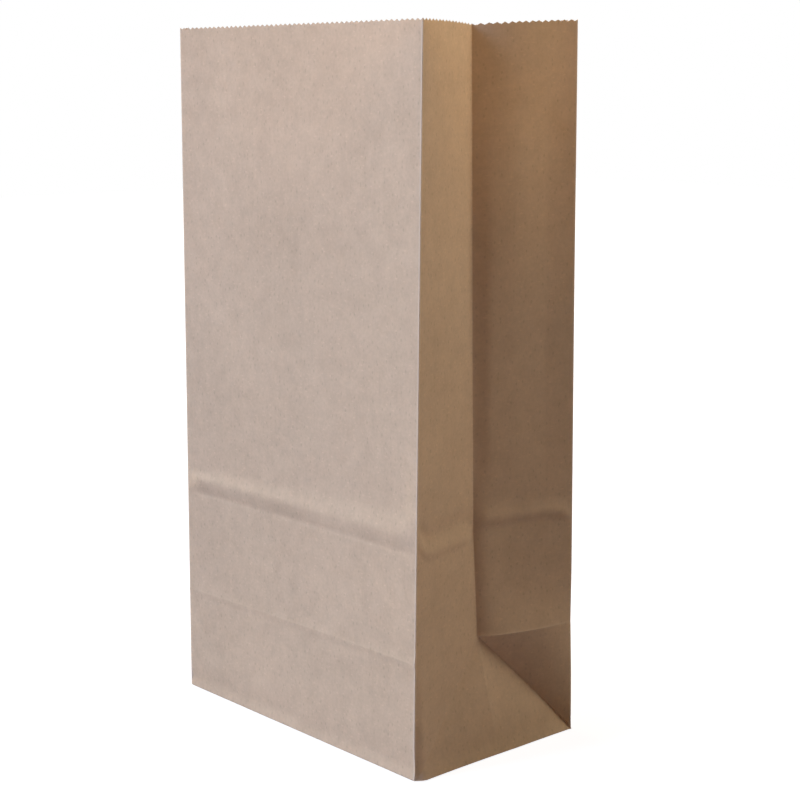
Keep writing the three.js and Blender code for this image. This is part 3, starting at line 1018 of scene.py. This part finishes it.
def machine_finished_kraft():
    """Unbleached kraft paper, pressed against a hot cylinder: brown, matt with a faint sheen, cloudy
    where the fibres lie thicker, streaked along the sheet, with single dark shives and pale fibres,
    pale along its folds from wear and from a painted highlight of their rounds, and thin enough for
    strong light to show through it."""
    material, tree = new_material("machine_finished_kraft_paper")
    sheet = add_node(tree, "ShaderNodeUVMap", {"uv_map": "sheet"}).outputs["UV"]
    fibres = lying_fibres(tree, sheet)
    tone = add_node(
        tree,
        "ShaderNodeMath",
        {"operation": "MULTIPLY_ADD"},
        {0: fibres, 1: FIBRE_TONE, 2: cloudiness(tree, sheet)},
    ).outputs[0]
    shives = flecks(tree, sheet, wide=2.6, tall=4.2, share=0.4)
    tone = add_node(
        tree, "ShaderNodeMath", {"operation": "MULTIPLY_ADD"}, {0: shives, 1: SHIVE_TONE, 2: tone}
    ).outputs[0]
    pale_fibres = flecks(tree, sheet, wide=4.5, tall=2.2, share=0.35)
    tone = add_node(
        tree,
        "ShaderNodeMath",
        {"operation": "MULTIPLY_ADD"},
        {0: pale_fibres, 1: PALE_FIBRE_TONE, 2: tone},
    ).outputs[0]
    paper = add_node(
        tree,
        "ShaderNodeVectorMath",
        {"operation": "SCALE"},
        {"Vector": linear(KRAFT)[:3], "Scale": tone},
    ).outputs["Vector"]
    # the folds' pale lines: part wear, part painted highlight of their rounds catching light
    side_folds = wear_and_highlight(tree, "side_fold_mm", reach=1.0, strength=0.75)
    cross_fold = wear_and_highlight(tree, "cross_fold_mm", reach=0.9, strength=0.3)
    wear_and_highlight_mask = add_node(tree, "ShaderNodeMath", {"operation": "MAXIMUM"}, {0: side_folds, 1: cross_fold})
    coloured = add_node(
        tree,
        "ShaderNodeMix",
        {"data_type": "RGBA"},
        {"Factor": wear_and_highlight_mask.outputs[0], 6: paper, 7: linear(WEAR_AND_HIGHLIGHT_KRAFT)},
    ).outputs[2]
    relief = add_node(
        tree,
        "ShaderNodeBump",
        {},
        {"Height": fibres, "Strength": 0.4, "Distance": FIBRE_RELIEF * MILLIMETRE},
    ).outputs["Normal"]
    surface = add_node(
        tree,
        "ShaderNodeBsdfPrincipled",
        {},
        {"Base Color": coloured, "Roughness": 0.8, "IOR": 1.45, "Normal": relief},
    ).outputs["BSDF"]
    through = add_node(
        tree, "ShaderNodeBsdfTranslucent", {}, {"Color": linear(THROUGH_KRAFT), "Normal": relief}
    ).outputs["BSDF"]
    both = add_node(
        tree, "ShaderNodeMixShader", {}, {0: SEE_THROUGH, 1: surface, 2: through}
    ).outputs["Shader"]
    add_node(tree, "ShaderNodeOutputMaterial", {}, {"Surface": both})
    return material


def seen_directly(tree):
    """1 for rays that show a thing itself, to the eye or in a reflection, and 0 for its light."""
    path = add_node(tree, "ShaderNodeLightPath")
    seen = path.outputs["Is Camera Ray"]
    for ray in ("Is Glossy Ray", "Is Transmission Ray"):
        seen = add_node(
            tree, "ShaderNodeMath", {"operation": "MAXIMUM"}, {0: seen, 1: path.outputs[ray]}
        ).outputs[0]
    return seen


def studio_floor():
    """Matt pale board. It looks white itself, and it keeps the bag's soft shadow."""
    material, tree = new_material("matt_pale_board")
    board = add_node(
        tree, "ShaderNodeBsdfDiffuse", {}, {"Color": linear(PALE_BOARD)}
    ).outputs["BSDF"]
    place = add_node(tree, "ShaderNodeTexCoord").outputs["Object"]
    away = add_node(
        tree, "ShaderNodeVectorMath", {"operation": "LENGTH"}, {"Vector": place}
    ).outputs["Value"]
    start, end = FLOOR_FADE
    white = add_node(
        tree,
        "ShaderNodeMapRange",
        {"interpolation_type": "SMOOTHSTEP"},
        {"Value": away, "From Min": start, "From Max": end, "To Min": FLOOR_GLOW, "To Max": 1},
    ).outputs["Result"]
    glow = add_node(
        tree, "ShaderNodeMath", {"operation": "MULTIPLY"}, {0: seen_directly(tree), 1: white}
    ).outputs[0]
    light = add_node(tree, "ShaderNodeEmission", {}, {"Strength": glow}).outputs["Emission"]
    both = add_node(tree, "ShaderNodeAddShader", {}, {0: board, 1: light}).outputs["Shader"]
    add_node(tree, "ShaderNodeOutputMaterial", {}, {"Surface": both})
    return material


def add_floor():
    data = bpy.data.meshes.new("floor")
    signs = [(-1, -1), (1, -1), (1, 1), (-1, 1)]
    corners = [(x * FLOOR_HALF, y * FLOOR_HALF, FLOOR_LEVEL) for x, y in signs]
    data.from_pydata(corners, [], [(0, 1, 2, 3)])
    data.materials.append(studio_floor())
    floor = bpy.data.objects.new("floor", data)
    bpy.context.scene.collection.objects.link(floor)


def add_lamp(name, angles, distance, size, colour, level):
    """A square soft lamp aimed at the bag's middle. Its angles are those round the bag, 0 in front
    and 90 on the +X side, and up. At level 1 its light alone shows a colour that faces it as that
    colour is written."""
    a, e = [math.radians(angle) for angle in angles]
    away = Vector((math.sin(a) * math.cos(e), -math.cos(a) * math.cos(e), math.sin(e)))
    data = bpy.data.lights.new(name, "AREA")
    data.size = size
    data.energy = level * (math.pi * distance) ** 2
    data.color = linear(colour)[:3]
    lamp = bpy.data.objects.new(name, data)
    lamp.location = Vector((0, 0, BAG_HEIGHT / 2 * MILLIMETRE)) + away * distance
    lamp.rotation_euler = away.to_track_quat("Z", "Y").to_euler()
    bpy.context.scene.collection.objects.link(lamp)


def light_the_scene():
    world = bpy.data.worlds.new("studio")
    bpy.context.scene.world = world
    world.use_nodes = True
    tree = world.node_tree
    tree.nodes.clear()
    ambient = add_node(
        tree, "ShaderNodeBackground", {}, {"Color": linear(AMBIENT_COLOUR), "Strength": AMBIENT}
    ).outputs["Background"]
    white = add_node(
        tree, "ShaderNodeBackground", {}, {"Color": linear("FFFFFF"), "Strength": 1.0}
    ).outputs["Background"]
    both = add_node(
        tree, "ShaderNodeMixShader", {}, {0: seen_directly(tree), 1: ambient, 2: white}
    ).outputs["Shader"]
    add_node(tree, "ShaderNodeOutputWorld", {}, {"Surface": both})
    add_lamp("front_key", (-24, 30), distance=4.2, size=1.9, colour="BCD4FF", level=1.55)
    add_lamp("side_key", (-80, 28), distance=6.0, size=2.7, colour="FFF8CE", level=1.03)
    add_lamp("back_light", (140, 40), distance=0.75, size=0.35, colour="FFFAE9", level=0.53)


def add_camera():
    """The photograph's view: the bag's near fold a little left of the middle, seen from above."""
    yaw, pitch, roll = math.radians(48.668), math.radians(10.208), math.radians(-0.148)
    distance, aside, lift = 0.68905, 0.01077, -0.00897
    back = Vector(
        (math.sin(yaw) * math.cos(pitch), -math.cos(yaw) * math.cos(pitch), math.sin(pitch))
    )
    right = Vector((math.cos(yaw), math.sin(yaw), 0))
    up = back.cross(right)
    target = Vector((0, 0, BAG_HEIGHT / 2 * MILLIMETRE)) + right * aside + up * lift
    turned_right = right * math.cos(roll) + up * math.sin(roll)
    turned_up = up * math.cos(roll) - right * math.sin(roll)
    data = bpy.data.cameras.new("camera")
    data.sensor_fit = "HORIZONTAL"
    data.sensor_width = 36
    data.lens = 79.11
    data.clip_start = 0.05
    camera = bpy.data.objects.new("camera", data)
    camera.matrix_world = Matrix.Translation(target + back * distance) @ Matrix(
        (turned_right, turned_up, back)
    ).transposed().to_4x4()
    bpy.context.scene.collection.objects.link(camera)
    bpy.context.scene.camera = camera


bag = bag_object()
bag.data.materials.append(machine_finished_kraft())
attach(bag, "root")
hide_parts("paper_bag")

add_floor()
light_the_scene()
add_camera()
bpy.context.scene.view_settings.view_transform = "Standard"
